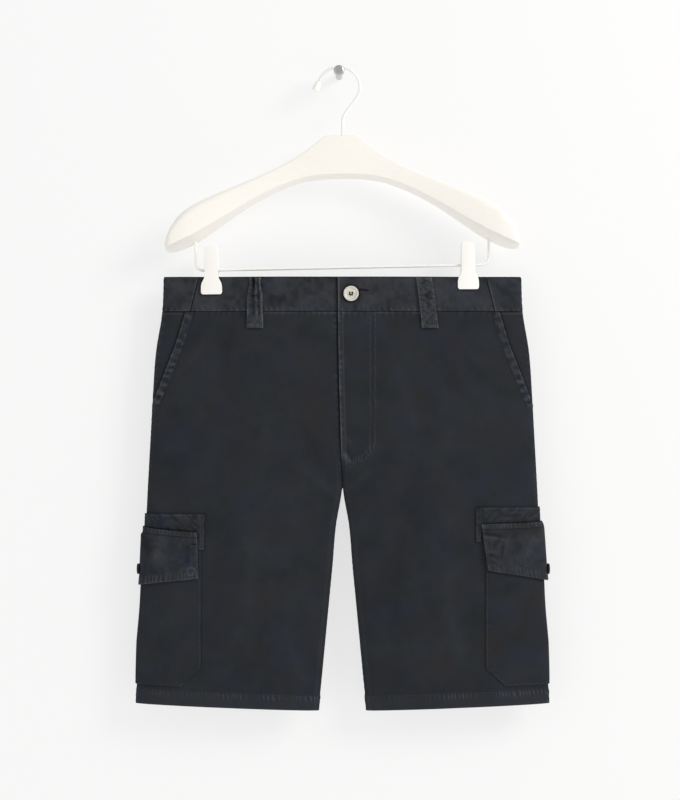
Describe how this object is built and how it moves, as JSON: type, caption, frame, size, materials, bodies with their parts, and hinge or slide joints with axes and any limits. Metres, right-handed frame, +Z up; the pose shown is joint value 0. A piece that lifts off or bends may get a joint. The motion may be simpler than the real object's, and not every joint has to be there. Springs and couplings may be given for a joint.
{
  "type": "cargo shorts on a clip hanger with a wall peg",
  "caption": "Dark cargo shorts with slant hip pockets and flapped leg pockets, clipped by the waistband to a white wooden hanger that hangs on a wall peg.",
  "frame": {"origin": "centre of the wall peg's flat back face, on the wall", "axes": "+Z up, +Y into the wall, +X to the wearer's left; the front of the shorts faces -Y"},
  "size_m": [0.502, 0.0644, 0.7736],
  "materials": {
    "garment_dyed_twill": "matt, garment dyed, rubbed pale at the seams",
    "woven_zip_tape": "matt",
    "polished_corozo": "satin, faint grain",
    "blackened_snap": "satin black",
    "lacquered_wood": "satin white lacquer",
    "white_plastic": "satin",
    "white_coated_wire": "satin white",
    "brushed_peg_steel": "brushed"
  },
  "bodies": {
    "root": {"front_panel_left": "garment_dyed_twill", "front_panel_right": "garment_dyed_twill", "back_panel_left": "garment_dyed_twill", "back_panel_right": "garment_dyed_twill", "hip_pocket_left": "garment_dyed_twill", "hip_pocket_right": "garment_dyed_twill", "waistband_left": "garment_dyed_twill", "waistband_right": "garment_dyed_twill", "waistband_back": "garment_dyed_twill", "fly_shield": "garment_dyed_twill", "belt_loop_front_left": "garment_dyed_twill", "belt_loop_front_right": "garment_dyed_twill", "belt_loop_back_left": "garment_dyed_twill", "belt_loop_back_right": "garment_dyed_twill", "belt_loop_back_middle": "garment_dyed_twill", "cargo_pocket_left": "garment_dyed_twill", "cargo_pocket_right": "garment_dyed_twill", "cargo_band_left": "garment_dyed_twill", "cargo_band_right": "garment_dyed_twill", "cargo_flap_left": "garment_dyed_twill", "cargo_flap_right": "garment_dyed_twill", "fly_zip": "woven_zip_tape", "waist_button": "polished_corozo", "flap_snap_left": "blackened_snap", "flap_snap_right": "blackened_snap", "hanger_body": "lacquered_wood", "hook_cap": "white_plastic", "clip_left_front": "white_plastic", "clip_left_back": "white_plastic", "clip_left_hinge": "white_plastic", "clip_right_front": "white_plastic", "clip_right_back": "white_plastic", "clip_right_hinge": "white_plastic", "hanger_hook": "white_coated_wire", "hanger_bar": "white_coated_wire", "wall_peg": "brushed_peg_steel"}
  },
  "joints": []
}
